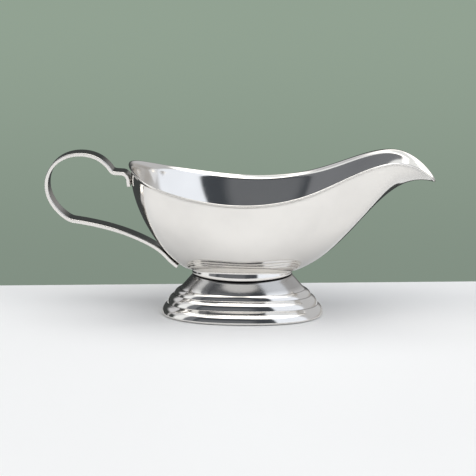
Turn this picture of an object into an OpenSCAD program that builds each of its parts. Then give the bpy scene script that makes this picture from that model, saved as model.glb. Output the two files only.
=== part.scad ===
// Pedestal gravy boat in polished stainless steel.
// A deep-drawn bowl with a beaked spout stands on a pressed oval foot, and one bent strip
// makes the handle. Resistance welds hold the three pressings together.
// X runs from the handle (-X) to the spout (+X), Z is up, the foot rests on Z = 0 and the
// boat is symmetrical about the XZ plane. All sizes are in millimetres.

/* [Overall] */
// Length from the back of the handle to the tip of the spout
overall_l = 202; // [190:1:215]
// Greatest width of the bowl at the root of its lip
bowl_w = 74.8; // [66:0.2:82]
// Thickness of the drawn bowl
bowl_wall = 0.9; // [0.7:0.1:1.1]

/* [Rim] */
// Height of the lip root where the rim dips lowest, beside the widest part
rim_dip_z = 62.6; // [58:0.2:68]
// How far the lip root climbs from the dip to the crest of the spout
rim_rise = 19.2; // [15:0.2:22]
// Width of the turned-out lip that stiffens the rim
lip_l = 3; // [2:0.1:4]
// Angle by which the lip turns out of the wall
lip_turn = 26; // [10:1:40]

/* [Foot] */
// Length of the foot where it is widest, just above the table
foot_l = 84.8; // [80:0.2:90]
// Width of the foot where it is widest
foot_w = 56; // [50:0.2:62]
// Height of the joint between foot and bowl, at the middle of the long side
joint_z = 20.8; // [18:0.2:24]
// Length of the neck at the joint
neck_l = 52.4; // [48:0.2:56]
// Width of the neck at the joint
neck_w = 38.4; // [35:0.2:42]
// How far the pressed rings sway out of level at the two ends: the joint up, the steps down
ring_sway = 1.2; // [0:0.1:1.6]
// How strongly the steps of the foot swell, from flat (0.3) to square-shouldered (0.8)
bead_swell = 0.55; // [0.3:0.05:0.8]
// Thickness of the pressed foot
foot_wall = 0.8; // [0.6:0.1:1]

/* [Handle] */
// Width of the handle strip
strip_w = 10.5; // [8:0.5:12]
// Thickness of the handle strip
strip_t = 1.8; // [1.4:0.1:2]
// Height of the top of the finger loop, on the strip's middle line
loop_top_z = 84; // [80:0.2:88]

/* [Welds] */
// Thickness of the weld nuggets, which is the crevice left between two welded sheets
weld_gap = 0.25; // [0.2:0.05:0.4]
// Height of the nuggets behind the tab, where the strip stands a little off the bowl's back
tab_gap = 0.6; // [0.4:0.05:0.8]
// Diameter of the nuggets under the handle strip
handle_nugget_d = 3; // [2:0.1:4]
// Diameter of the nuggets between bowl and foot
foot_nugget_d = 6; // [4:0.1:8]

/* [Hidden] */

meridians = 84;        // around the bowl, even so that both sides match
belly_steps = 12;      // along the belly, from the collar to the lip root
fillet_steps = 4;      // along the concave collar above the joint
lip_steps = 3;         // across the lip
foot_sides = 64;       // around the foot
bead_steps = 5;        // round each step of the foot

foot_x = 1.5;                          // centre of foot and joint
bowl_depth = rim_dip_z - joint_z;      // 1 unit of the handle lengths in the station list
edge_round = 0.45 * bowl_wall;         // how far the rounded sheet edge stands out
tip_lean = 99;                         // lean of the wall at the spout's tip
tip_turn = 0.15;                       // share of the lip's turn that is left at the tip
tip_heading = tip_lean + tip_turn * lip_turn;
tip_x = overall_l / 2 - (lip_l + edge_round) * sin(tip_heading) + bowl_wall / 2 * cos(tip_heading);
back_x = -56.3;                        // lip root at the very back
collar_bead = 0.22;                    // share of the collar's height that rounds into the joint
collar_skirt = 0.52;                   // share of that height at the top of the straight skirt
collar_taper = 0.16;                   // inward slope of the skirt between the two
bead_inset = 0.75;                     // how far that rounding tucks in, in its own heights
bend_least = 0.1;                      // shortest bend above the skirt, in collar heights
sway_wave = 0.77 * joint_z;            // height over which the sway of the rings turns round
step_fall = 0.25;                      // fall of a step's level start, as a share of its height
step_lean = 0.15;                      // spread of its steep lower face, as a share of its width
steel = [0.80, 0.81, 0.82];
weld_steel = [0.62, 0.62, 0.63];

// ---- Curves -------------------------------------------------------------------------

function unit(v) = v / norm(v);
function quadratic(p, q, r, t) = (1 - t) * (1 - t) * p + 2 * t * (1 - t) * q + t * t * r;
function cubic(p, q, r, s, t) =
    pow(1 - t, 3) * p + 3 * t * pow(1 - t, 2) * q + 3 * t * t * (1 - t) * r + pow(t, 3) * s;

// Smooth curve through every control point of a list (Catmull-Rom), u in whole steps
function through(c, u) =
    let (i = min(floor(u), len(c) - 4), f = u - i)
    0.5 * (2 * c[i + 1] + f * (c[i + 2] - c[i])
        + f * f * (2 * c[i] - 5 * c[i + 1] + 4 * c[i + 2] - c[i + 3])
        + f * f * f * (3 * c[i + 1] - c[i] - 3 * c[i + 2] + c[i + 3]));

function signed_power(v, p) = sign(v) * pow(abs(v), p);

// Point of an oval of half-length a, half-width b and fullness n (2 is an ellipse)
function oval(a, b, n, t) =
    [foot_x + a * signed_power(cos(t), 2 / n), b * signed_power(sin(t), 2 / n)];

// ---- Closed skins -------------------------------------------------------------------

// A skin over closed rings of equal length, with a point closing each end
module skin(start, rings, end) {
    n = len(rings[0]);
    m = len(rings);
    points = concat([start], [for (r = rings) each r], [end]);
    last = n * m + 1;
    faces = concat(
        [for (i = [0 : n - 1]) [0, 1 + i, 1 + (i + 1) % n]],
        [for (j = [0 : m - 2], i = [0 : n - 1])
            let (a = 1 + j * n + i, b = 1 + j * n + (i + 1) % n)
            each [[a, a + n, b], [b, a + n, b + n]]],
        [for (i = [0 : n - 1]) [last, last - n + (i + 1) % n, last - n + i]]);
    polyhedron(points, faces, convexity = 6);
}

// ---- Bowl ---------------------------------------------------------------------------

// Stations of the bowl from the tip of the spout to the back:
// [place along the lip root 0 back to 1 tip, half-width share, climb share above the dip,
//  lean of the wall outwards, facing of the wall in plan, length of the upper handle,
//  angle on the joint oval, slope at the collar, length of the lower handle,
//  reach of the collar, height of the collar, share of the lip's turn]
// The two handles are those of the cubic belly curve, in units of the bowl's depth.
stations = [
    [1.000, 0.000, 0.485, tip_lean, 0, 0.61, 0, 22, 0.775, 3.4, 2.6, tip_turn],
    [0.978, 0.185, 0.700, 84, 8.5, 0.53, 12, 22.5, 0.76, 3.4, 2.8, 0.5],
    [0.880, 0.458, 1.000, 27, 50, 0.46, 27, 29, 0.69, 3.5, 4.0, 0.9],
    [0.723, 0.674, 0.625, 17, 74, 0.51, 45, 35, 0.53, 3.8, 6.0, 1],
    [0.574, 0.877, 0.177, 15, 77, 0.40, 64, 41, 0.37, 4.1, 7.8, 1],
    [0.405, 1.000, 0.000, 13, 92, 0.35, 88, 43, 0.31, 4.2, 8.6, 1],
    [0.229, 0.963, 0.125, 12, 108, 0.36, 114, 42, 0.30, 4.1, 8.0, 1],
    [0.086, 0.722, 0.385, 9, 133, 0.41, 141, 34, 0.29, 3.7, 5.4, 1],
    [0.020, 0.374, 0.604, 0, 155, 0.48, 160, 25, 0.29, 3.4, 3.4, 1],
    [0.000, 0.000, 0.698, -4, 180, 0.48, 180, 20, 0.27, 3.4, 2.6, 1],
];

// Height that a ring of the foot gains at its two ends, by its own height above the table
function sway(z) = -ring_sway * sin(180 * z / sway_wave);

// Height of the joint at a place along the boat
function joint_height(x) = joint_z + sway(joint_z) * pow((x - foot_x) / (neck_l / 2), 2);

// Outward direction of the joint oval in plan
function joint_normal(t) = unit([cos(t) / neck_l, sin(t) / neck_w, 0]);

// Point beside the joint oval, a distance out from it and a height above the joint
function by_joint(t, out, up) =
    let (p = oval(neck_l / 2, neck_w / 2, 2, t))
    [p[0], p[1], joint_height(p[0]) + up] + out * joint_normal(t);

// Top of the collar's skirt, and top of the collar, where the belly begins
function skirt_top(t, h) =
    by_joint(t, -collar_taper * (collar_skirt - collar_bead) * h, collar_skirt * h);
function collar_top(t, reach, h) = by_joint(t, reach, h);

// Control points of a station: collar data, two belly handles, lip root, lip middle, rim
function controls(s) =
    let (
        root = [back_x + s[0] * (tip_x - back_x), s[1] * bowl_w / 2, rim_dip_z + s[2] * rim_rise],
        facing = [cos(s[4]), sin(s[4]), 0],
        along = facing * sin(s[3]) + [0, 0, cos(s[3])],
        across = facing * cos(s[3]) - [0, 0, sin(s[3])],
        start = collar_top(s[6], s[9], s[10]),
        away = root - by_joint(s[6], 0, 0),
        heading = unit([away[0], away[1], 0]) * cos(s[7]) + [0, 0, sin(s[7])],
        lip_middle = root + lip_l / 2 * along,
        turn = lip_turn * s[11],
        rim = root + lip_l * (along * cos(turn) + across * sin(turn)))
    [[s[6], s[9], s[10]],
        start + s[8] * bowl_depth * heading,
        root - s[5] * bowl_depth * along,
        root, lip_middle, rim];

// The same station on the other side of the boat
function other_side(c, turn) =
    [for (k = [0 : len(c) - 1]) k == 0 ? [turn - c[0][0], c[0][1], c[0][2]] : [c[k][0], -c[k][1], c[k][2]]];

half_controls = [for (s = stations) controls(s)];
last_station = len(stations) - 1;
guided_controls = concat(
    [other_side(half_controls[1], 0)], half_controls, [other_side(half_controls[last_station - 1], 360)]);

// One meridian of the outer surface, from the flat bottom up to the rim
function meridian(c) =
    let (
        t = c[0][0],
        h = c[0][2],
        low = skirt_top(t, h),
        top = collar_top(t, c[0][1], h),
        rise = c[1] - top,
        slope = rise[2] / norm([rise[0], rise[1]]),
        reach = c[0][1] + collar_taper * (collar_skirt - collar_bead) * h,
        bead = collar_bead * h,
        bend = max(bend_least * h,
            ((1 - collar_skirt) * h - slope * reach) / (1 + collar_taper * slope)),
        inner = oval(neck_l / 4, neck_w / 4, 2, t),
        tuck = by_joint(t, -bead_inset * bead, 0))
    concat(
        [[inner[0], inner[1], joint_height(inner[0])], tuck],
        [for (u = [0.5, 1]) quadratic(tuck, by_joint(t, 0, 0), by_joint(t, 0, bead), u)],
        [for (k = [0 : fillet_steps - 1])
            quadratic(low, low + bend * ([0, 0, 1] - collar_taper * joint_normal(t)), top,
                k / fillet_steps)],
        [for (k = [0 : belly_steps - 1]) cubic(top, c[1], c[2], c[3], k / belly_steps)],
        [for (k = [0 : lip_steps]) quadratic(c[3], c[4], c[5], k / lip_steps)]);

half_count = meridians / 2;
half_outer = [for (i = [0 : half_count]) meridian(through(guided_controls, i * last_station / half_count))];
outer = concat(
    half_outer,
    [for (i = [half_count - 1 : -1 : 1]) [for (p = half_outer[i]) [p[0], -p[1], p[2]]]]);
rows = len(outer[0]);

// Outward normal of the outer surface at meridian i, row j
function outer_normal(i, j) =
    let (
        around = outer[(i + 1) % meridians][j] - outer[(i + meridians - 1) % meridians][j],
        up = outer[i][min(j + 1, rows - 1)] - outer[i][max(j - 1, 0)])
    unit(cross(around, up));

// Rounded sheet edge of the rim, half-way through the wall
function rim_edge(i) =
    let (p = outer[i][rows - 1])
    p - bowl_wall / 2 * outer_normal(i, rows - 1) + edge_round * unit(p - outer[i][rows - 2]);

module bowl() {
    color(steel)
        skin(
            [foot_x, 0, joint_z],
            concat(
                [for (j = [0 : rows - 1]) [for (i = [0 : meridians - 1]) outer[i][j]]],
                [[for (i = [0 : meridians - 1]) rim_edge(i)]],
                [for (j = [rows - 1 : -1 : 0])
                    [for (i = [0 : meridians - 1]) outer[i][j] - bowl_wall * outer_normal(i, j)]]),
            [foot_x, 0, joint_z + bowl_wall]);
}

// ---- Foot ---------------------------------------------------------------------------

foot_top_z = joint_z - weld_gap;
neck_edge = 1;                          // rounding of the neck's top edge, which shades the joint
neck_top = [neck_l / 2, foot_top_z - neck_edge];
neck_guides = [[28.3, 17.8], [30.8, 15.1]];   // the neck falls away straight, then turns level
creases = [[32.7, 13.8], [35.8, 11.1], [39.3, 6.6], [foot_l / 2, 1.4]];   // between the steps
flare_power = 3.2;                      // the sides of the neck stay upright longer than its ends
squareness = 0.3;                       // by how much the widest ring is fuller than an ellipse
edge_cut = 0.3;                         // how far the neck's rounding cuts its corner, in its radii
sole_inset = 1.2;                       // from the widest place in to the flat rim on the table
sole_w = 2;                             // width of that flat rim
sole_outer = [foot_l / 2 - sole_inset, 0];
sole_inner = sole_outer - [sole_w, 0];
sole_bulge = [0.3, -0.2];               // rounding between the last crease and the flat rim

// Point of the swelling step between two creases: it starts almost level and ends steep
function step_point(p, q, u) =
    let (d = q - p)
    cubic(p, p + [bead_swell * d[0], step_fall * d[1]], q - [step_lean * d[0], bead_swell * d[1]], q, u);

// Outer profile of the foot as [half-length, height], from the neck down to the resting rim
foot_profile = concat(
    [[neck_l / 2 - neck_edge, foot_top_z],
        [neck_l / 2 - edge_cut * neck_edge, foot_top_z - edge_cut * neck_edge]],
    [for (k = [0 : bead_steps + 1])
        cubic(neck_top, neck_guides[0], neck_guides[1], creases[0], k / (bead_steps + 1))],
    [for (s = [0 : len(creases) - 2], k = [1 : bead_steps])
        step_point(creases[s], creases[s + 1], k / bead_steps)],
    [(creases[3] + sole_outer) / 2 + sole_bulge, sole_outer]);

// Inner profile: the same pressing, one wall thickness further in
function profile_normal(k) =
    let (d = foot_profile[min(k + 1, len(foot_profile) - 1)] - foot_profile[max(k - 1, 0)])
    unit([-d[1], d[0]]);
inner_profile = concat(
    [sole_inner],
    [for (k = [len(foot_profile) - 2 : -1 : 0]) foot_profile[k] - foot_wall * profile_normal(k)]);

// Ring of the foot at one profile point: width and fullness grow as the foot flares
function flare(r) = max(0, (r - neck_l / 2) / (foot_l / 2 - neck_l / 2));
function foot_ring(p) =
    let (
        b = p[0] < neck_l / 2 ? p[0] * neck_w / neck_l
            : neck_w / 2 + (foot_w - neck_w) / 2 * pow(flare(p[0]), flare_power),
        n = 2 + squareness * flare(p[0]))
    [for (i = [0 : foot_sides - 1])
        let (t = 360 * i / foot_sides, q = oval(p[0], b, n, t))
        [q[0], q[1], p[1] + sway(p[1]) * pow((q[0] - foot_x) / max(p[0], neck_l / 2), 2)]];

module foot() {
    color(steel)
        skin(
            [foot_x, 0, foot_top_z - foot_wall],
            [for (p = concat([for (k = [len(inner_profile) - 1 : -1 : 0]) inner_profile[k]],
                [for (k = [len(foot_profile) - 1 : -1 : 0]) foot_profile[k]])) foot_ring(p)],
            [foot_x, 0, foot_top_z]);
}

// ---- Handle -------------------------------------------------------------------------

back = half_controls[last_station];
belly_start = collar_top(back[0][0], back[0][1], back[0][2]);
strip_offset = weld_gap + strip_t / 2;   // from the belly to the middle of the strip
tab_offset = tab_gap + strip_t / 2;      // the same at the tab

// Point of the bowl's back profile, and its outward normal, as [x, z]
function back_point(t) = let (p = cubic(belly_start, back[1], back[2], back[3], t)) [p[0], p[2]];
function back_normal(t) =
    let (nearby = 0.005, d = back_point(t + nearby) - back_point(t - nearby)) unit([-d[1], d[0]]);
function beside_back(t, d) = back_point(t) + d * back_normal(t);

tab_low = 0.868;      // place on the back profile of the tab's free end
tab_high = 0.93;      // and of its bend under the rim
land_high = 0.33;     // place where the lower leg reaches the belly
land_low = 0.10;      // and where it ends
tab_top = beside_back(tab_high, tab_offset);
land_bend = beside_back(land_high, strip_offset);
shelf_back = [back_x - 4.9, tab_top[1] + 2.7];    // end of the bend, start of the thumb shelf
shelf_front = [back_x - 9.4, shelf_back[1] + 0.3];   // kink where the loop starts
loop_start = shelf_front + [-0.8, 0.9];
loop_rise = [-70.4, 81.4];                        // pulls the loop up from the shelf to its top
loop_top = [-82.6, loop_top_z];
loop_rear = [-overall_l / 2 + strip_t / 2, 67.6];
loop_foot = [-88, 49.3];                          // slight kink where the lower leg starts
leg_start = loop_foot + [1.6, -0.3];
leg_sag = [-71, 46.9];                            // gives the lower leg its slack curve
leg_end = land_bend + [-4.6, 2.5];
land_settled = 0.25;                              // place where the leg lies flat on the belly
front_reach = 6.8;                                // curve handles of the loop: before its top,
rear_reach = 9.7;                                 // behind its top and above its rearmost point,
foot_reach = 8.6;                                 // and below its rearmost point
tab_bend = 0.9;                                   // lean of the bend between tab and shelf
shelf_turn = [1, -0.1];                           // from a kink back to where its bend starts:
foot_turn = [-1.4, 0.8];                          // at the shelf's front and at the loop's foot
foot_pull = [-5.6, 3.1];                          // draws the loop in towards its foot
leg_pull = [-11, 6.3];                            // straightens the leg before it lands

// Middle line of the strip from the tab under the rim, round the loop, to the belly
strip_line = concat(
    [for (k = [0 : 2]) beside_back(tab_low + (tab_high - tab_low) * k / 3, tab_offset)],
    [for (k = [0 : 5])
        quadratic(tab_top, [tab_top[0] - tab_bend, shelf_back[1]], shelf_back, k / 5)],
    [for (k = [1 : 3]) quadratic(shelf_front + shelf_turn, shelf_front, loop_start, k / 3)],
    [for (k = [1 : 10]) cubic(loop_start, loop_rise, loop_top + [front_reach, 0], loop_top, k / 10)],
    [for (k = [1 : 10])
        cubic(loop_top, loop_top - [rear_reach, 0], loop_rear + [0, rear_reach], loop_rear, k / 10)],
    [for (k = [1 : 9])
        cubic(loop_rear, loop_rear - [0, foot_reach], loop_foot + foot_pull, loop_foot, k / 10)],
    [for (k = [0 : 3]) quadratic(loop_foot + foot_turn, loop_foot, leg_start, k / 3)],
    [for (k = [1 : 11]) cubic(leg_start, leg_sag, leg_end + leg_pull, leg_end, k / 11)],
    [for (k = [1 : 5])
        quadratic(leg_end, land_bend, beside_back(land_settled, strip_offset), k / 5)],
    [for (k = [1 : 5])
        beside_back(land_settled + (land_low - land_settled) * k / 5, strip_offset)]);
strip_last = len(strip_line) - 1;

function strip_normal(k) =
    let (d = strip_line[min(k + 1, strip_last)] - strip_line[max(k - 1, 0)])
    unit([-d[1], d[0]]);

module handle() {
    color(steel)
        rotate([90, 0, 0])
            linear_extrude(height = strip_w, center = true)
                polygon(concat(
                    [for (k = [0 : strip_last]) strip_line[k] + strip_t / 2 * strip_normal(k)],
                    [for (k = [strip_last : -1 : 0]) strip_line[k] - strip_t / 2 * strip_normal(k)]));
}

// ---- Welds --------------------------------------------------------------------------

// A flat nugget that fills the crevice of height h at one place of the bowl's back
module back_nugget(t, y, h) {
    n = back_normal(t);
    p = back_point(t);
    translate([p[0], y, p[1]])
        rotate([0, atan2(n[0], n[1]), 0])
            cylinder(d = handle_nugget_d, h = h, $fn = 32);
}

module foot_weld_nuggets() {
    color(weld_steel)
        for (sx = [-1, 1], sy = [-1, 1]) {
            x = foot_x + sx * neck_l / 4;
            translate([x, sy * neck_w / 5, joint_height(x) - weld_gap])
                cylinder(d = foot_nugget_d, h = weld_gap, $fn = 48);
        }
}

module handle_top_weld_nuggets() {
    color(weld_steel)
        for (sy = [-1, 1]) back_nugget((tab_low + tab_high) / 2, sy * strip_w / 5, tab_gap);
}

module handle_lower_weld_nuggets() {
    color(weld_steel)
        for (t = [0.15, 0.5]) back_nugget(land_low + (land_high - land_low) * t, 0, weld_gap);
}

bowl();
foot();
handle();
foot_weld_nuggets();
handle_top_weld_nuggets();
handle_lower_weld_nuggets();
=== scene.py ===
"""Gravy boat in polished stainless steel: the visual model, in metres, in the CAD frame.

X runs from the handle to the spout, Z is up and the boat is symmetrical about the XZ plane.
The three pressings are drawn here with the CAD part's own curves, only finer and with
rounded sheet edges, and each is fitted to the box of the CAD node that it stands for.
"""

from math import cos, pi, radians, sin

import bmesh
import bpy
import numpy as np
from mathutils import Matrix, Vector


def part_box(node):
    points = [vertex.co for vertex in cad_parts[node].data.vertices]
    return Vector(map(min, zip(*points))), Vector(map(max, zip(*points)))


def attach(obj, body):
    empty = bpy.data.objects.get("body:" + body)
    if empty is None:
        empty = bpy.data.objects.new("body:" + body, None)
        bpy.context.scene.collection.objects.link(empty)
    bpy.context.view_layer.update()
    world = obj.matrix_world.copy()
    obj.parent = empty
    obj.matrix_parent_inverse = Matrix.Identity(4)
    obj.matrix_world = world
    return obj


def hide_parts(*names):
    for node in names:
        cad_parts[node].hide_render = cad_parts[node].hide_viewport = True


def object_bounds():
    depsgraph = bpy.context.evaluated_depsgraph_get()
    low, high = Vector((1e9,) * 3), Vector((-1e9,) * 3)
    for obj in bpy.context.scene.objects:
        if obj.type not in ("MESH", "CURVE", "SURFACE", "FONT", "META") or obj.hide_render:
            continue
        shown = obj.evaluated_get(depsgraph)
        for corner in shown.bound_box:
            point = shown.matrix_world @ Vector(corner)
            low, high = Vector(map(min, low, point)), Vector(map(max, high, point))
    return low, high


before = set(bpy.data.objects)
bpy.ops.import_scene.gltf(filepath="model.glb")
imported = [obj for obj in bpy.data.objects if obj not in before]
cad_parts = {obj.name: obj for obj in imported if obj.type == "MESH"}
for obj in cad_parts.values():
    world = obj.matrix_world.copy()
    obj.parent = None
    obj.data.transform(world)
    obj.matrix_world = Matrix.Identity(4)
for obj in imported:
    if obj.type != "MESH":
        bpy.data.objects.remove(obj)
cad_low, cad_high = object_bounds()
MM = 0.001

# ---- Measures, in millimetres, worked out from the frame ---------------------------------

bowl_box, foot_box, handle_box = (
    [np.array(corner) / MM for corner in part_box(name)] for name in ("bowl", "foot", "handle")
)
strip_w = handle_box[1][1] - handle_box[0][1]
strip_t = 1.8
handle_back = handle_box[0][0]
tip_overhang = 2.86             # how far the lip leans out over its root at the tip
tip_x = bowl_box[1][0] - tip_overhang
back_x = -56.3                  # root of the lip at the very back
bowl_w = 74.8                   # greatest width at the root of the lip
rim_dip_z = 62.6
rim_rise = 19.2
bowl_wall = 0.9
lip_l = 3.0
lip_turn = 26.0

foot_l, foot_w = (foot_box[1] - foot_box[0])[:2]
foot_x = (foot_box[0][0] + foot_box[1][0]) / 2
joint_z = 20.8
neck_l = 52.4
neck_w = 38.4
ring_sway = 1.2                 # greatest dip or rise of a pressed ring's two ends
sway_wave = 0.77                # share of the joint's height at which dip turns into rise
foot_wall = 0.8
weld_gap = 0.25
tab_gap = 0.6
collar_bead = 0.22
collar_skirt = 0.52
collar_taper = 0.16
collar_bend = 0.1               # least bend between skirt and belly, as a share of the collar
bead_inset = 0.75
bead_pull = 0.03                # handles of the bead's curve, in units of its height
bowl_depth = rim_dip_z - joint_z

# Stations of the bowl from the tip of the spout to the back: place along the lip root,
# half-width share, climb share above the dip, lean and facing of the wall, length of the
# upper handle, angle on the joint oval, slope at the collar, length of the lower handle,
# reach and height of the collar, share of the lip's turn.
STATIONS = [
    (1.000, 0.000, 0.485, 99, 0, 0.61, 0, 22, 0.775, 3.4, 2.6, 0.15),
    (0.978, 0.185, 0.700, 84, 8.5, 0.53, 12, 22.5, 0.76, 3.4, 2.8, 0.5),
    (0.880, 0.458, 1.000, 27, 50, 0.46, 27, 29, 0.69, 3.5, 4.0, 0.9),
    (0.723, 0.674, 0.625, 17, 74, 0.51, 45, 35, 0.53, 3.8, 6.0, 1),
    (0.574, 0.877, 0.177, 15, 77, 0.40, 64, 41, 0.37, 4.1, 7.8, 1),
    (0.405, 1.000, 0.000, 13, 92, 0.35, 88, 43, 0.31, 4.2, 8.6, 1),
    (0.229, 0.963, 0.125, 12, 108, 0.36, 114, 42, 0.30, 4.1, 8.0, 1),
    (0.086, 0.722, 0.385, 9, 133, 0.41, 141, 34, 0.29, 3.7, 5.4, 1),
    (0.020, 0.374, 0.604, 0, 155, 0.48, 160, 25, 0.29, 3.4, 3.4, 1),
    (0.000, 0.000, 0.698, -4, 180, 0.48, 180, 20, 0.27, 3.4, 2.6, 1),
]

# How finely the pieces are drawn
MERIDIANS_PER_STATION = 18
BOTTOM_STEPS, BEAD_STEPS, SKIRT_STEPS, COLLAR_STEPS = 5, 8, 4, 12
BELLY_STEPS, LIP_STEPS, EDGE_STEPS = 56, 10, 8
FOOT_SIDES = 288
PROFILE_STEP = 0.2      # along the foot's profile
STRIP_STEP = 0.5        # along the handle strip
STRIP_CORNER = 0.32     # rounding of the strip's long edges
CORNER_POINTS = 5
SIDE_SHARES = 0.03, 0.5, 0.97   # places of the points on its flat sides

# Painted shade: the metal is painted darker in the crevices by the joint and between the foot's
# steps, where shade falls, and a little darker low on the neck as a painted dimmer reflection; in
# millimetres unless said otherwise
BOWL_PAINTED_SHADE_RINGS = 3, 5                   # rings of the bead to which it is full, and where it ends
JOINT_PAINTED_SHADE_EDGE = 0.25, 0.05             # the same on the foot, inside the edge of its top
JOINT_PAINTED_SHADE_DEPTH = 1.5
CREASE_PAINTED_SHADE = 0.5                        # share, between the steps
CREASE_PAINTED_SHADE_REACH = 0.1, 0.35
NECK_PAINTED_SHADE = 0.38                         # share, low on the neck
NECK_PAINTED_SHADE_REACH = 2.0


# ---- Curves ------------------------------------------------------------------------------

def unit(v):
    """Vectors of length 1 in the same directions."""
    return v / np.linalg.norm(v, axis=-1, keepdims=True)


def bezier(points, t):
    """Points of a Bezier curve of any degree at the parameters t."""
    t = np.atleast_1d(t)[:, None]
    row = [np.asarray(p, float) for p in points]
    while len(row) > 1:
        row = [(1 - t) * a + t * b for a, b in zip(row, row[1:])]
    return row[0]


def closed_spline(values, per_step):
    """Smooth closed curve through rows of values, per_step samples from row to row."""
    n = len(values)
    before, after = np.roll(values, 1, 0), np.roll(values, -1, 0)
    system = 4 * np.eye(n) + np.roll(np.eye(n), 1, 1) + np.roll(np.eye(n), -1, 1)
    bend = np.linalg.solve(system, 6 * (before - 2 * values + after))
    f = np.arange(per_step)[None, :, None] / per_step
    a, b, p, q = bend[:, None], np.roll(bend, -1, 0)[:, None], values[:, None], after[:, None]
    curve = ((1 - f) * p + f * q + ((1 - f) ** 3 - (1 - f)) * a / 6 + (f ** 3 - f) * b / 6)
    return curve.reshape(n * per_step, -1)


def evenly(points, step):
    """The same line with points about one step apart."""
    along = np.concatenate([[0], np.cumsum(np.linalg.norm(np.diff(points, axis=0), axis=1))])
    places = np.linspace(0, along[-1], max(2, round(along[-1] / step) + 1))
    return np.stack([np.interp(places, along, points[:, k]) for k in range(points.shape[1])], 1)


def softened(points, step, radius):
    """The line with its kinks rounded over a radius; its two ends stay where they are."""
    fine = evenly(points, step)
    reach = int(round(3 * radius / step))
    weights = np.exp(-0.5 * (np.arange(-reach, reach + 1) * step / radius) ** 2)
    weights /= weights.sum()
    ahead = 2 * fine[0] - fine[reach:0:-1]
    behind = 2 * fine[-1] - fine[-2:-reach - 2:-1]
    padded = np.concatenate([ahead, fine, behind])
    return np.stack([np.convolve(padded[:, k], weights, "valid") for k in range(2)], 1)


def side_of(line):
    """Unit normals to the left of a line in a plane."""
    d = np.gradient(line, axis=0)
    return unit(np.stack([-d[:, 1], d[:, 0]], 1))


# ---- Joint between bowl and foot ---------------------------------------------------------

def sway(z):
    """Height that a pressed ring gains at its two ends."""
    return -ring_sway * np.sin(pi * z / (sway_wave * joint_z))


def oval(a, b, n, t):
    """Points of an oval round the foot's middle, with half-axes a and b and fullness n."""
    c, s = np.cos(t), np.sin(t)
    return foot_x + a * np.sign(c) * abs(c) ** (2 / n), b * np.sign(s) * abs(s) ** (2 / n)


def by_joint(t, out, up):
    """Point beside the joint oval, a distance out from it and a height above the joint."""
    x, y = oval(neck_l / 2, neck_w / 2, 2, t)
    z = joint_z + sway(joint_z) * ((x - foot_x) / (neck_l / 2)) ** 2
    nx, ny = unit(np.array([cos(t) / neck_l, sin(t) / neck_w]))
    return np.array([x + out * nx, y + out * ny, z + up])


# ---- Meshes ------------------------------------------------------------------------------

def fit(points, box):
    """Points moved and stretched, by a hair, so that they fill a CAD node's box."""
    low, high = points.min(0), points.max(0)
    return box[0] + (points - low) * (box[1] - box[0]) / (high - low)


def skin(name, start, rings, end, box, around, along, painted_shade):
    """Closed smooth mesh over rings of points. Its UV map holds the share of the way round
    and the distance in metres along the section, which the steel's polishing lines follow.
    The last argument is painted shade: ring by ring, how much darker the metal is painted in its
    crevices."""
    count, n = rings.shape[:2]
    sides = [(i, (i + 1) % n, around[i], around[i + 1]) for i in range(n)]
    points = fit(np.concatenate([[start], rings.reshape(-1, 3), [end]]), box) * MM
    faces, uvs = [], []
    for i, k, u, w in sides:
        faces.append((0, 1 + i, 1 + k))
        uvs += [(u, 0), (u, along[0]), (w, along[0])]
    for j in range(count - 1):
        here, after = 1 + j * n, 1 + (j + 1) * n
        for i, k, u, w in sides:
            faces.append((here + i, after + i, after + k, here + k))
            uvs += [(u, along[j]), (u, along[j + 1]), (w, along[j + 1]), (w, along[j])]
    base, last = 1 + (count - 1) * n, 1 + count * n
    for i, k, u, w in sides:
        faces.append((last, base + k, base + i))
        uvs += [(w, along[-1]), (w, along[-1]), (u, along[-1])]
    mesh = bpy.data.meshes.new(name)
    mesh.from_pydata(points.tolist(), [], faces)
    layer = mesh.uv_layers.new(name="lines")
    layer.data.foreach_set("uv", np.array(uvs, np.float32).ravel())
    # painted shade, read by the steel's shader
    dark = mesh.attributes.new("painted_shade", "FLOAT", "POINT")
    shares = np.concatenate([painted_shade[:1], np.repeat(painted_shade, n), painted_shade[-1:]])
    dark.data.foreach_set("value", shares.astype(np.float32))
    work = bmesh.new()
    work.from_mesh(mesh)
    bmesh.ops.recalc_face_normals(work, faces=work.faces)
    work.to_mesh(mesh)
    work.free()
    mesh.polygons.foreach_set("use_smooth", [True] * len(mesh.polygons))
    piece = bpy.data.objects.new(name, mesh)
    bpy.context.collection.objects.link(piece)
    return piece


def faded(values, full, none):
    """1 up to the value full, falling to 0 at the value none."""
    return np.clip((none - np.asarray(values, float)) / (none - full), 0, 1)


def lengths(rings):
    """Mean distance in metres along the section to every ring."""
    gaps = np.linalg.norm(np.diff(rings, axis=0), axis=2).mean(1)
    return np.concatenate([[0], np.cumsum(gaps)]) * MM


# ---- Bowl --------------------------------------------------------------------------------

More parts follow.
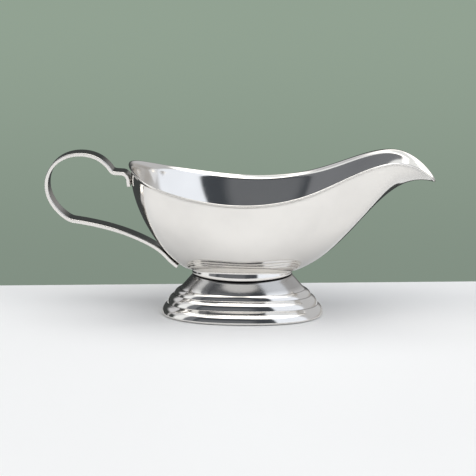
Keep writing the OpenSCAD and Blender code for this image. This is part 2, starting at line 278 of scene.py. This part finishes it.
def controls(station):
    """Collar data and the five points that guide a meridian, as one row of numbers."""
    place, half, climb, lean, facing, upper, angle, slope, lower, reach, height, turn = station
    lean, facing, slope = radians(lean), radians(facing), radians(slope)
    turn = radians(lip_turn * turn)
    root = np.array([back_x + place * (tip_x - back_x),
                     half * bowl_w / 2,
                     rim_dip_z + climb * rim_rise])
    outward = np.array([cos(facing), sin(facing), 0])
    up = np.array([0, 0, 1.0])
    wall_up = outward * sin(lean) + up * cos(lean)
    wall_out = outward * cos(lean) - up * sin(lean)
    t = radians(angle)
    away = root - by_joint(t, 0, 0)
    away[2] = 0
    start = by_joint(t, reach, height)
    low = start + lower * bowl_depth * (unit(away) * cos(slope) + up * sin(slope))
    high = root - upper * bowl_depth * wall_up
    middle = root + lip_l / 2 * wall_up
    rim = root + lip_l * (wall_up * cos(turn) + wall_out * sin(turn))
    return np.concatenate([[angle, reach, height], low, high, root, middle, rim])


def other_side(row):
    """The same controls mirrored over the plane of symmetry."""
    row = row.copy()
    row[0] = 360 - row[0]
    row[4::3] *= -1
    return row


def meridian(row):
    """Outer surface along one meridian, from the edge of the flat bottom up to the rim."""
    t, reach, h = radians(row[0]), row[1], row[2]
    low, high, root, middle, rim = row[3:].reshape(5, 3)
    bead = collar_bead * h
    drawn_in = collar_taper * (collar_skirt - collar_bead) * h
    foot = by_joint(t, 0, bead)
    skirt = by_joint(t, -drawn_in, collar_skirt * h)
    top = by_joint(t, reach, h)
    inward = by_joint(t, -1, 0) - by_joint(t, 0, 0)
    rise = low - top
    slope = rise[2] / np.hypot(rise[0], rise[1])
    bend = max(collar_bend * h, ((1 - collar_skirt) * h - slope * (reach + drawn_in))
                              / (1 + collar_taper * slope))
    tuck = by_joint(t, -bead_inset * bead, 0)
    parts = [
        bezier([by_joint(t, -neck_l / 4, 0), tuck], np.arange(BOTTOM_STEPS) / BOTTOM_STEPS),
        bezier([tuck, by_joint(t, -bead_pull * bead, 0),
                by_joint(t, bead_pull * bead, bead / 2), foot],
               np.linspace(0, 1, BEAD_STEPS + 1)),
        bezier([foot, skirt], np.linspace(0, 1, SKIRT_STEPS + 1)[1:-1]),
        bezier([skirt, skirt + bend * (np.array([0, 0, 1.0]) + collar_taper * inward), top],
               np.arange(COLLAR_STEPS) / COLLAR_STEPS),
        bezier([top, low, high, root], np.arange(BELLY_STEPS) / BELLY_STEPS),
        bezier([root, middle, rim], np.linspace(0, 1, LIP_STEPS + 1)),
    ]
    return np.concatenate(parts)


def make_bowl():
    """Sheet of the bowl: meridians all the way round, thickened inwards, with a round rim."""
    half = [controls(s) for s in STATIONS]
    rows = np.array(half + [other_side(r) for r in half[-2:0:-1]])
    turn = np.arange(len(rows)) * 360 / len(rows)
    rows[:, 0] -= turn                       # what is left of the angle closes on itself
    smooth = closed_spline(rows, MERIDIANS_PER_STATION)
    count = len(smooth)
    smooth[:, 0] += np.arange(count) * 360 / count
    outer = np.array([meridian(r) for r in smooth])
    sideways = np.roll(outer, -1, 0) - np.roll(outer, 1, 0)
    normal = unit(np.cross(sideways, np.gradient(outer, axis=1)))
    rim_up = unit(outer[:, -1] - outer[:, -2])
    swing = np.linspace(0, pi, EDGE_STEPS + 1)[1:-1, None, None]
    middle = outer[:, -1] - bowl_wall / 2 * normal[:, -1]
    edge = middle + bowl_wall / 2 * (np.cos(swing) * normal[:, -1] + np.sin(swing) * rim_up)
    inner = outer - bowl_wall * normal
    rings = np.concatenate([outer.transpose(1, 0, 2), edge, inner.transpose(1, 0, 2)[::-1]])
    centre = np.array([foot_x, 0, joint_z])
    # Painted shade: the bead's rings by the joint are painted darker, where the crevice is in shade
    painted_shade = faded(np.arange(len(rings)), *(BOTTOM_STEPS + k for k in BOWL_PAINTED_SHADE_RINGS))
    return skin("bowl_shell", centre, rings, centre + [0, 0, bowl_wall], bowl_box,
                np.arange(count + 1) / count, lengths(rings), painted_shade)


# ---- Foot --------------------------------------------------------------------------------

CREASES = [(32.7, 13.8), (35.8, 11.1), (39.3, 6.6), (foot_l / 2, 1.4)]
NECK_GUIDES = [(28.3, 17.8), (30.8, 15.1)]
NECK_EDGE = 1.0
TOP_FLAT = 3                            # level part of the top beside the neck's edge
SOLE_INSET, SOLE_W = 1.2, 2.0           # the flat ring on which the foot stands
FLARE_POWER = 3.2
FLARE_FULLNESS = 0.3                    # by which the rim is squarer than the neck's oval
BEAD_SWELL, STEP_FALL, STEP_LEAN = 0.55, 0.25, 0.15
CREASE_RADIUS = 0.16
CREASE_STEP = 0.05
CURVE_POINTS = 30


def foot_profile():
    """Outer profile as (half-length, height), from the neck down to the resting rim."""
    top = joint_z - weld_gap
    neck_top = (neck_l / 2, top - NECK_EDGE)
    top_edge = (neck_l / 2 - NECK_EDGE, top)
    sole_outer = (foot_l / 2 - SOLE_INSET, 0)
    sole_inner = (foot_l / 2 - SOLE_INSET - SOLE_W, 0)
    t = np.linspace(0, 1, CURVE_POINTS)
    parts = [
        bezier([(top_edge[0] - TOP_FLAT, top), top_edge], t),
        bezier([top_edge, (neck_l / 2, top), neck_top], t),
        bezier([neck_top, *NECK_GUIDES, CREASES[0]], t),
    ]
    for p, q in zip(CREASES, CREASES[1:]):
        d = np.subtract(q, p)
        shoulder = p + d * (BEAD_SWELL, STEP_FALL)
        parts.append(bezier([p, shoulder, q - d * (STEP_LEAN, BEAD_SWELL), q], t))
    parts.append(bezier([CREASES[-1], (foot_l / 2, 0), sole_outer], t))
    outer = softened(np.concatenate(parts), CREASE_STEP, CREASE_RADIUS)
    return evenly(outer, PROFILE_STEP), np.array(sole_inner)


def foot_ring(r, z):
    """Oval ring of the foot: its width and fullness grow as the foot flares."""
    flare = max(0, (r - neck_l / 2) / (foot_l / 2 - neck_l / 2))
    if r < neck_l / 2:
        b = r * neck_w / neck_l
    else:
        b = neck_w / 2 + (foot_w - neck_w) / 2 * flare ** FLARE_POWER
    t = np.arange(FOOT_SIDES) * 2 * pi / FOOT_SIDES
    x, y = oval(r, b, 2 + FLARE_FULLNESS * flare, t)
    return np.stack([x, y, z + sway(z) * ((x - foot_x) / max(r, neck_l / 2)) ** 2], 1)


def make_foot():
    """Sheet of the foot: its profile swept round the ovals, hollow and open underneath."""
    outer, sole_inner = foot_profile()
    inner = (outer - foot_wall * side_of(outer))[:-2:2][::-1]
    profile = np.concatenate([outer, [sole_inner], inner])
    rings = np.array([foot_ring(r, z) for r, z in profile])
    top = np.array([foot_x, 0, joint_z - weld_gap])
    # Painted shade: darker inside the edge of the foot's top and in the creases between the steps,
    # where shade falls, and a painted dimmer reflection low on the neck
    in_joint = faded(profile[:, 0], *(neck_l / 2 - inside for inside in JOINT_PAINTED_SHADE_EDGE))
    in_joint[profile[:, 1] < joint_z - JOINT_PAINTED_SHADE_DEPTH] = 0
    neck_foot = CREASES[0][1]
    on_neck = NECK_PAINTED_SHADE * faded(-profile[:, 1], -neck_foot - NECK_PAINTED_SHADE_REACH, -neck_foot)
    off_crease = np.min([np.hypot(*(profile - c).T) for c in CREASES[:-1]], 0)
    in_crease = CREASE_PAINTED_SHADE * faded(off_crease, *CREASE_PAINTED_SHADE_REACH)
    painted_shade = np.max([in_joint, on_neck, in_crease], 0)
    return skin("foot_shell", top, rings, top - [0, 0, foot_wall], foot_box,
                np.arange(FOOT_SIDES + 1) / FOOT_SIDES, lengths(rings), painted_shade)


# ---- Handle ------------------------------------------------------------------------------

# Where tab and landing lie up the bowl's back, from the collar (0) to the lip's root (1)
TAB_LOW, TAB_HIGH = 0.868, 0.93
LAND_HIGH, LAND_LOW = 0.33, 0.10
LAND_SETTLED = 0.25

# Guides of the strip's line in the XZ plane: the pulls, the bends and those with a note are
# distances from another point, the others are places
TAB_BEND = 0.9
SHELF_BACK = np.array([-4.9, 2.7])      # from the lip's root, and above the top of the tab
SHELF_FRONT = np.array([-4.5, 0.3])     # from the shelf's other end
SHELF_BEND = np.array([1.0, -0.1])
LOOP_START = np.array([-0.8, 0.9])      # from the end of the shelf
LOOP_RISE = np.array([-70.4, 81.4])
LOOP_TOP = np.array([-82.6, 84.0])
LOOP_REAR_Z = 67.6
LOOP_FOOT = np.array([-88.0, 49.3])
TOP_PULL, REAR_PULL, DOWN_PULL = 6.8, 9.7, 8.6
FOOT_PULL = np.array([-5.6, 3.1])
FOOT_TURN = np.array([-1.4, 0.8])       # from the foot of the loop
LEG_START = np.array([1.6, -0.3])       # from the foot of the loop
LEG_SAG = np.array([-71.0, 46.9])
LEG_PULL = np.array([-11.0, 6.3])
LEG_END = np.array([-4.6, 2.5])         # from the bend on to the landing
BEND_RADIUS = 0.35                      # over which every kink is rounded
BACK_POINTS, BEND_POINTS, TAB_POINTS, LAND_POINTS = 401, 24, 8, 10


def strip_line():
    """Middle line of the strip from the tab under the rim, round the loop, to the belly."""
    row = controls(STATIONS[-1])
    low, high, root = row[3:12].reshape(3, 3)[:, ::2]
    start = by_joint(pi, row[1], row[2])[::2]
    places = np.linspace(0, 1, BACK_POINTS)
    back = bezier([start, low, high, root], places)
    normal = side_of(back)

    def beside(t, d):
        """Points at the places t up the bowl's back, a distance d off it."""
        return np.array([np.interp(t, places, back[:, k] + d * normal[:, k]) for k in range(2)]).T

    on_belly, on_tab = weld_gap + strip_t / 2, tab_gap + strip_t / 2
    tab_top, bend = beside(TAB_HIGH, on_tab), beside(LAND_HIGH, on_belly)
    shelf_back = SHELF_BACK + [back_x, tab_top[1]]
    shelf_front = shelf_back + SHELF_FRONT
    loop_start = shelf_front + LOOP_START
    loop_rear = np.array([handle_back + strip_t / 2, LOOP_REAR_Z])
    leg_start, leg_end = LOOP_FOOT + LEG_START, bend + LEG_END
    t = np.linspace(0, 1, BEND_POINTS)
    parts = [
        beside(np.linspace(TAB_LOW, TAB_HIGH, TAB_POINTS), on_tab),
        bezier([tab_top, (tab_top[0] - TAB_BEND, shelf_back[1]), shelf_back], t),
        bezier([shelf_front + SHELF_BEND, shelf_front, loop_start], t),
        bezier([loop_start, LOOP_RISE, LOOP_TOP + [TOP_PULL, 0], LOOP_TOP], t),
        bezier([LOOP_TOP, LOOP_TOP - [REAR_PULL, 0], loop_rear + [0, REAR_PULL], loop_rear], t),
        bezier([loop_rear, loop_rear - [0, DOWN_PULL], LOOP_FOOT + FOOT_PULL, LOOP_FOOT], t)[:-2],
        bezier([LOOP_FOOT + FOOT_TURN, LOOP_FOOT, leg_start], t),
        bezier([leg_start, LEG_SAG, leg_end + LEG_PULL, leg_end], t),
        bezier([leg_end, bend, beside(LAND_SETTLED, on_belly)], t),
        beside(np.linspace(LAND_SETTLED, LAND_LOW, LAND_POINTS)[1:], on_belly),
    ]
    return softened(np.concatenate(parts), STRIP_STEP / 2, BEND_RADIUS)[::2]


def strip_section():
    """Rounded rectangle of the strip, as offsets across it and through it, and the same
    drawn in by the corner radius, for the rounded ends."""
    across, through = strip_w / 2 - STRIP_CORNER, strip_t / 2 - STRIP_CORNER
    corners = np.array([(1, 1), (-1, 1), (-1, -1), (1, -1)]) * (across, through)
    spots, cores = [], []
    for k, (here, after) in enumerate(zip(corners, np.roll(corners, -1, 0))):
        centres = [here] * CORNER_POINTS + [here + share * (after - here) for share in SIDE_SHARES]
        turns = np.linspace(0, pi / 2, CORNER_POINTS).tolist() + [pi / 2] * len(SIDE_SHARES)
        for centre, turn in zip(centres, turns):
            turn += k * pi / 2
            cores.append(centre)
            spots.append(centre + STRIP_CORNER * np.array([cos(turn), sin(turn)]))
    return np.array(spots), np.array(cores)


def make_handle():
    """The bent strip: its section carried along its line, with rounded ends."""
    line = strip_line()
    normal = side_of(line)
    along = np.stack([normal[:, 1], -normal[:, 0]], 1)
    spots, cores = strip_section()
    swing = np.linspace(0, pi / 2, CORNER_POINTS)
    rings = []

    def ring(k, share, push):
        """Section at point k: share of its corner radius, pushed along the line."""
        section = cores + share * (spots - cores)
        flat = line[k] + push * along[k] + section[:, 1:] * normal[k]
        return np.stack([flat[:, 0], section[:, 0], flat[:, 1]], 1)

    for a in swing[:-1]:
        rings.append(ring(0, sin(a), STRIP_CORNER * (1 - cos(a))))
    for k in range(1, len(line) - 1):
        rings.append(ring(k, 1, 0))
    for a in swing[-2::-1]:
        rings.append(ring(-1, sin(a), -STRIP_CORNER * (1 - cos(a))))
    rings = np.array(rings)
    return skin("handle_strip", rings[0].mean(0), rings, rings[-1].mean(0), handle_box,
                np.linspace(0, 1, len(spots) + 1), lengths(rings), np.zeros(len(rings)))


# ---- Shader building ---------------------------------------------------------------------

class Nodes:
    """Builds a node tree one call at a time; inputs may be numbers, colours or sockets."""

    def __init__(self, tree):
        self.tree = tree
        tree.nodes.clear()

    def add(self, kind, inputs=None, **settings):
        """A new node with these inputs and settings."""
        node = self.tree.nodes.new(kind)
        for name, value in settings.items():
            setattr(node, name, value)
        for name, value in (inputs or {}).items():
            if isinstance(value, bpy.types.NodeSocket):
                self.tree.links.new(value, node.inputs[name])
            else:
                node.inputs[name].default_value = value
        return node

    def math(self, operation, *values):
        return self.add("ShaderNodeMath", dict(enumerate(values)), operation=operation).outputs[0]

    def smooth(self, value, low, high, to_low=0.0, to_high=1.0):
        """Soft step from to_low to to_high as the value goes from low to high."""
        return self.add("ShaderNodeMapRange", {
            "Value": value, "From Min": low, "From Max": high, "To Min": to_low, "To Max": to_high,
        }, interpolation_type="SMOOTHSTEP").outputs[0]

    def mix(self, share, a, b):
        """Colour a where share is 0 and b where it is 1."""
        node = self.add("ShaderNodeMix", data_type="RGBA")
        for slot, value in ((0, share), (6, a), (7, b)):
            if isinstance(value, bpy.types.NodeSocket):
                self.tree.links.new(value, node.inputs[slot])
            else:
                node.inputs[slot].default_value = value if slot == 0 else (*value, 1)
        return node.outputs[2]

    def noise(self, vector, scale, detail=3.0, roughness=0.55):
        return self.add("ShaderNodeTexNoise", {
            "Vector": vector, "Scale": scale, "Detail": detail, "Roughness": roughness,
        }).outputs[0]


STEEL_TINT = (0.86, 0.835, 0.80)
PAINTED_SHADE_TINT = (0.035, 0.03, 0.028)     # painted shade: the dark colour painted into the crevices and low on the neck
WORN_SHARE = 0.96                       # of its brightness that hazy steel keeps
HAZE_SCALE, SMEAR_SCALE, WAVE_SCALE = 55.0, 190.0, 45.0
DRUM_RADIUS = 4.0                       # of the noise that the polishing lines are cut from
BASE_ROUGHNESS, HAZE_ROUGHNESS = 0.7, 0.5               # in units of the shine
SMEAR_ROUGHNESS, SCRATCH_ROUGHNESS = 0.03, 0.05         # in units of the wear
# the second is the roughness added where painted shade lies
LINE_ROUGHNESS, PAINTED_SHADE_ROUGHNESS = 0.02, 0.3
WAVE_HEIGHT, POLISH_HEIGHT, SCRATCH_HEIGHT = 0.00002, 0.000001, 0.0000006   # in metres

# Two sets of fine scratches: turn of the noise they are cut from, how often it repeats along
# and across them, and the values between which a scratch rises
SCRATCH_SETS = [
    ((0.3, 0.5, 0.9), (30.0, 900.0, 900.0), 0.66, 0.72),
    ((-0.4, -0.7, 2.2), (40.0, 1100.0, 1100.0), 0.68, 0.74),
]


def steel(name, tint, shine, line_step, wear):
    """Polished stainless steel. tint is its colour, shine the roughness of the best polished
    places, line_step the spacing of the polishing lines in metres, wear from 0 to 1."""
    material = bpy.data.materials.new(name)
    material.use_nodes = True
    n = Nodes(material.node_tree)
    place = n.add("ShaderNodeTexCoord").outputs["Object"]
    uv = n.add("ShaderNodeUVMap", uv_map="lines").outputs[0]
    parts = n.add("ShaderNodeSeparateXYZ", {0: uv}).outputs
    turn = n.math("MULTIPLY", parts[0], 2 * pi)
    on_drum = n.add("ShaderNodeCombineXYZ", {
        0: n.math("MULTIPLY", n.math("COSINE", turn), DRUM_RADIUS),
        1: n.math("MULTIPLY", n.math("SINE", turn), DRUM_RADIUS),
        2: n.math("DIVIDE", parts[1], line_step)}).outputs[0]
    lines = n.noise(on_drum, 1.0, 2.0, 0.6)
    haze = n.noise(place, HAZE_SCALE, 3.0)
    smears = n.noise(place, SMEAR_SCALE, 4.0, 0.65)
    sets = []
    for way, stretch, low, high in SCRATCH_SETS:
        field = n.add("ShaderNodeMapping", {
            "Vector": place, "Rotation": way, "Scale": stretch}).outputs[0]
        sets.append(n.smooth(n.noise(field, 1.0, 2.0, 0.7), low, high))
    scratches = n.math("ADD", *sets)

    roughness = n.math("ADD", n.math("MULTIPLY", haze, HAZE_ROUGHNESS * shine),
                       BASE_ROUGHNESS * shine)
    smeared = n.smooth(smears, 0.55, 0.75)
    roughness = n.math("MULTIPLY_ADD", smeared, SMEAR_ROUGHNESS * wear, roughness)
    roughness = n.math("MULTIPLY_ADD", scratches, SCRATCH_ROUGHNESS * wear, roughness)
    roughness = n.math("MULTIPLY_ADD", lines, LINE_ROUGHNESS, roughness)
    worn = tuple(WORN_SHARE * c for c in tint)
    colour = n.mix(n.smooth(haze, 0.35, 0.7), tint, worn)
    # Painted shade: the mesh's mask paints the metal darker, and a little rougher, in crevices and
    # low on the neck
    painted_shade = n.add("ShaderNodeAttribute", attribute_name="painted_shade").outputs["Fac"]
    colour = n.mix(painted_shade, colour, PAINTED_SHADE_TINT)
    roughness = n.math("MULTIPLY_ADD", painted_shade, PAINTED_SHADE_ROUGHNESS, roughness)

    waves = n.add("ShaderNodeBump", {
        "Height": n.noise(place, WAVE_SCALE, 1.0), "Distance": WAVE_HEIGHT, "Strength": 1.0,
    }).outputs[0]
    polish = n.add("ShaderNodeBump", {
        "Height": lines, "Distance": POLISH_HEIGHT, "Strength": 1.0, "Normal": waves}).outputs[0]
    worn_in = n.add("ShaderNodeBump", {
        "Height": scratches, "Distance": SCRATCH_HEIGHT * wear, "Strength": 1.0,
        "Normal": polish}, invert=True).outputs[0]
    shader = n.add("ShaderNodeBsdfPrincipled", {
        "Base Color": colour, "Metallic": 1.0, "Roughness": roughness, "Normal": worn_in})
    n.add("ShaderNodeOutputMaterial", {"Surface": shader.outputs[0]})
    return material


WELD_GREY, WELD_BROWN = (0.42, 0.41, 0.40), (0.30, 0.26, 0.22)
LUMP_SCALE, BLOTCH_SCALE = 1500.0, 400.0
LUMP_HEIGHT = 0.00008


def weld_metal():
    """Grey, lumpy metal of the resistance welds, tinted a little by the heat."""
    material = bpy.data.materials.new("weld_metal")
    material.use_nodes = True
    n = Nodes(material.node_tree)
    place = n.add("ShaderNodeTexCoord").outputs["Object"]
    lumps = n.noise(place, LUMP_SCALE, 4.0)
    blotches = n.noise(place, BLOTCH_SCALE, 3.0)
    colour = n.mix(blotches, WELD_GREY, WELD_BROWN)
    bump = n.add("ShaderNodeBump", {"Height": lumps, "Distance": LUMP_HEIGHT}).outputs[0]
    shader = n.add("ShaderNodeBsdfPrincipled", {
        "Base Color": colour, "Metallic": 1.0, "Normal": bump,
        "Roughness": n.smooth(lumps, 0.3, 0.7, 0.35, 0.6)})
    n.add("ShaderNodeOutputMaterial", {"Surface": shader.outputs[0]})
    return material


# The third colour is painted shade: the back of the table is painted greyer where the boat's shade
# falls
PAINT_LIGHT, PAINT_DARK, TABLE_PAINTED_SHADE = (0.89, 0.895, 0.90), (0.87, 0.875, 0.88), (0.79, 0.80, 0.81)
TABLE_SHADE_FROM, TABLE_SHADE_FULL = -0.03, 0.045      # places across the table, in metres
MOTTLE_SCALE = 9.0


def table_paint():
    """Matt white table top with a very faint mottle, and painted shade that makes it a little greyer
    towards its back edge.
    """
    material = bpy.data.materials.new("table_paint")
    material.use_nodes = True
    n = Nodes(material.node_tree)
    place = n.add("ShaderNodeTexCoord").outputs["Object"]
    mottle = n.noise(place, MOTTLE_SCALE, 3.0)
    colour = n.mix(mottle, PAINT_LIGHT, PAINT_DARK)
    depth = n.add("ShaderNodeSeparateXYZ", {0: place}).outputs[1]
    # painted shade, greyer towards the back edge
    colour = n.mix(n.smooth(depth, TABLE_SHADE_FROM, TABLE_SHADE_FULL), colour, TABLE_PAINTED_SHADE)
    shader = n.add("ShaderNodeBsdfPrincipled", {
        "Base Color": colour, "Roughness": n.smooth(mottle, 0.3, 0.7, 0.55, 0.65),
        "Specular IOR Level": 0.2})
    n.add("ShaderNodeOutputMaterial", {"Surface": shader.outputs[0]})
    return material


# ---- Pieces ------------------------------------------------------------------------------

bowl = make_bowl()
foot = make_foot()
handle = make_handle()
finishes = {
    "bowl_steel": steel("bowl_steel", STEEL_TINT, 0.085, 0.0009, 0.8),
    "foot_steel": steel("foot_steel", STEEL_TINT, 0.075, 0.0006, 0.6),
    "handle_steel": steel("handle_steel", STEEL_TINT, 0.09, 0.0007, 1.0),
    "weld_steel": weld_metal(),
}
for piece, node, slot in ((bowl, "bowl", "bowl_steel"), (foot, "foot", "foot_steel"),
                          (handle, "handle", "handle_steel")):
    piece.data.materials.append(finishes[slot])
    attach(piece, "root")
    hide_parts(node)
for node in ("foot_weld_nuggets", "handle_top_weld_nuggets", "handle_lower_weld_nuggets"):
    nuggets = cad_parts[node]
    nuggets.data.materials.clear()
    nuggets.data.materials.append(finishes["weld_steel"])

# ---- Table -------------------------------------------------------------------------------

TABLE_TURN = radians(5.5)       # its back edge isn't quite square to the view
TABLE_BEHIND = 0.063            # from the boat's middle to the back edge
TABLE_BEFORE = 0.70
TABLE_SIDE = 1.5
TABLE_THICK = 0.03
TABLE_ROUNDING = 0.0015


def make_table():
    """The table top: a slab turned a little, with rounded edges."""
    mesh = bpy.data.meshes.new("table")
    work = bmesh.new()
    corners = [(x, y, z) for x in (-TABLE_SIDE, TABLE_SIDE)
               for y in (-TABLE_BEFORE, TABLE_BEHIND) for z in (-TABLE_THICK, 0)]
    for x, y, z in corners:
        work.verts.new((x * cos(TABLE_TURN) - y * sin(TABLE_TURN),
                        x * sin(TABLE_TURN) + y * cos(TABLE_TURN), z))
    bmesh.ops.convex_hull(work, input=work.verts)
    bmesh.ops.dissolve_limit(work, angle_limit=0.01, verts=work.verts, edges=work.edges)
    work.to_mesh(mesh)
    work.free()
    table = bpy.data.objects.new("table", mesh)
    bpy.context.collection.objects.link(table)
    rounding = table.modifiers.new("rounding", "BEVEL")
    rounding.width = TABLE_ROUNDING
    rounding.segments = 4
    mesh.materials.append(table_paint())
    return table


make_table()

# ---- Studio ------------------------------------------------------------------------------

# What the steel mirrors, as soft-edged panels: azimuth from and to (0 is the camera's side,
# positive towards the spout), elevation from and to, width of the soft edge, light.
PANELS = [
    (-88, -62, -12, 62, 9, (0.95, 0.98, 1.00)),         # window side, towards the handle
    (-140, -84, 26, 62, 12, (0.66, 0.67, 0.70)),        # its upper part reaches further back
    (-112, -104, -12, 62, 3, (0.45, 0.45, 0.46)),       # pale door frame
    (-64, -46, -12, 48, 4, (0.195, 0.205, 0.225)),      # grey wall beside it
    (-47, 26, -12, 47, 3, (0.060, 0.068, 0.080)),       # dark room behind the camera
    (-42, 6, 0, 34, 10, (0.150, 0.160, 0.176)),         # dimly lit wall in that room
    (27, 95, -12, 60, 4, (0.98, 1.04, 1.14)),           # cool soft box by the spout
    (84, 165, -12, 55, 18, (0.44, 0.43, 0.42)),         # dimmer wall beyond it
    (84, 165, 6, 55, 12, (0.56, 0.57, 0.59)),           # which is lighter higher up
]
BEHIND = (0.055, 0.06, 0.06)    # the unlit backdrop
OVERHEAD = (2.50, 2.47, 2.42)   # the big soft light above
OVERHEAD_LEAN = (0.18, -0.60)   # it is brighter towards the spout and the camera
OVERHEAD_FROM, OVERHEAD_FULL = 48, 58
FLAG = (-190, -42, 62, 100, 8, (0.90, 0.93, 0.94))   # a cloth that shades its middle and left
# The backdrop that the camera sees, and the elevations between which its colours blend
BACKDROP_LOW, BACKDROP_HIGH = (0.220, 0.275, 0.225), (0.288, 0.362, 0.290)
BACKDROP_FROM, BACKDROP_FULL = -15.0, -7.0


def make_world():
    """The room: panels for the steel to mirror, and a backdrop that only the camera sees."""
    world = bpy.data.worlds.new("studio")
    bpy.context.scene.world = world
    world.use_nodes = True
    n = Nodes(world.node_tree)
    way = n.add("ShaderNodeTexCoord").outputs["Generated"]
    x, y, z = n.add("ShaderNodeSeparateXYZ", {0: way}).outputs
    azimuth = n.math("DEGREES", n.math("ARCTAN2", x, n.math("MULTIPLY", y, -1.0)))
    elevation = n.math("DEGREES", n.math("ARCSINE", z))

    def painted(light, panel):
        """The light with one soft-edged panel painted over it."""
        az0, az1, el0, el1, soft, colour = panel
        mask = 1.0
        for value, start, stop in ((azimuth, az0, az1), (elevation, el0, el1)):
            opened = n.smooth(value, start - soft / 2, start + soft / 2)
            closed = n.smooth(value, stop - soft / 2, stop + soft / 2, 1.0, 0.0)
            mask = n.math("MULTIPLY", mask, n.math("MULTIPLY", opened, closed))
        return n.mix(mask, light, colour)

    light = BEHIND
    for panel in PANELS:
        light = painted(light, panel)
    gain = n.math("MULTIPLY_ADD", x, OVERHEAD_LEAN[0], 1.0)
    gain = n.math("MULTIPLY_ADD", y, OVERHEAD_LEAN[1], gain)
    lamp = n.add("ShaderNodeVectorMath", {0: OVERHEAD, "Scale": gain},
                 operation="SCALE").outputs[0]
    light = n.mix(n.smooth(elevation, OVERHEAD_FROM, OVERHEAD_FULL), light, lamp)
    light = painted(light, FLAG)
    risen = n.smooth(elevation, BACKDROP_FROM, BACKDROP_FULL)
    seen = n.mix(risen, BACKDROP_LOW, BACKDROP_HIGH)
    camera_ray = n.add("ShaderNodeLightPath").outputs["Is Camera Ray"]
    background = n.add("ShaderNodeBackground", {"Color": n.mix(camera_ray, light, seen)})
    n.add("ShaderNodeOutputWorld", {"Surface": background.outputs[0]})


make_world()

# ---- Camera ------------------------------------------------------------------------------

CAMERA_AZIMUTH, CAMERA_ELEVATION = radians(3.5), radians(13)
CAMERA_DISTANCE = 1.2
SENSOR_WIDTH, FOCAL_LENGTH = 36.0, 174.3    # in millimetres
CLIP_NEAR, CLIP_FAR = 0.05, 20.0
AIM_SHIFT = 0.0008              # how far left of the boat's middle the camera points
AIM_HEIGHT = 0.47               # height that it points at, as a share of the boat's
middle = (cad_low + cad_high) / 2
aim = Vector((middle.x - AIM_SHIFT, middle.y, AIM_HEIGHT * cad_high.z))
back = Vector((sin(CAMERA_AZIMUTH) * cos(CAMERA_ELEVATION),
               -cos(CAMERA_AZIMUTH) * cos(CAMERA_ELEVATION), sin(CAMERA_ELEVATION)))
lens = bpy.data.cameras.new("camera")
lens.sensor_width = SENSOR_WIDTH
lens.lens = FOCAL_LENGTH
lens.clip_start, lens.clip_end = CLIP_NEAR, CLIP_FAR
camera = bpy.data.objects.new("camera", lens)
bpy.context.collection.objects.link(camera)
camera.location = aim + CAMERA_DISTANCE * back
camera.rotation_euler = back.to_track_quat("Z", "Y").to_euler()
bpy.context.scene.camera = camera
bpy.context.scene.view_settings.view_transform = "Standard"
